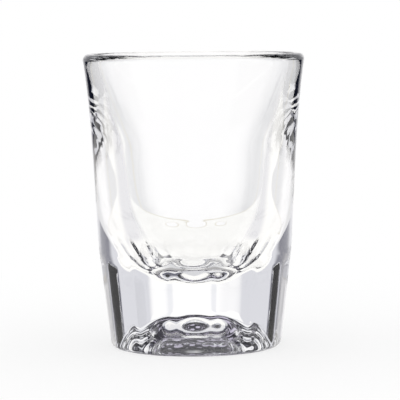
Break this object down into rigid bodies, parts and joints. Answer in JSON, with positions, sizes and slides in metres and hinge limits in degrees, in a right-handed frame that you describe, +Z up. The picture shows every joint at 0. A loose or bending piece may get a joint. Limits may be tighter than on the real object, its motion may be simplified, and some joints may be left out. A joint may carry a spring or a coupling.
{
  "type": "whiskey glass",
  "caption": "Small clear pressed whiskey glass with a flared round wall, a thick fluted base and a domed underside.",
  "frame": {"origin": "centre of the foot ring, on the surface that the glass stands on", "axes": "+Z up along the glass's axis, towards the rim; -Y through the middle of one flute, which faces the viewer"},
  "size_m": [0.055, 0.055, 0.073],
  "materials": {
    "clear_glass": "clear soda-lime glass, fire-polished and smooth"
  },
  "bodies": {
    "root": {"glass_body": "clear_glass"}
  },
  "joints": []
}
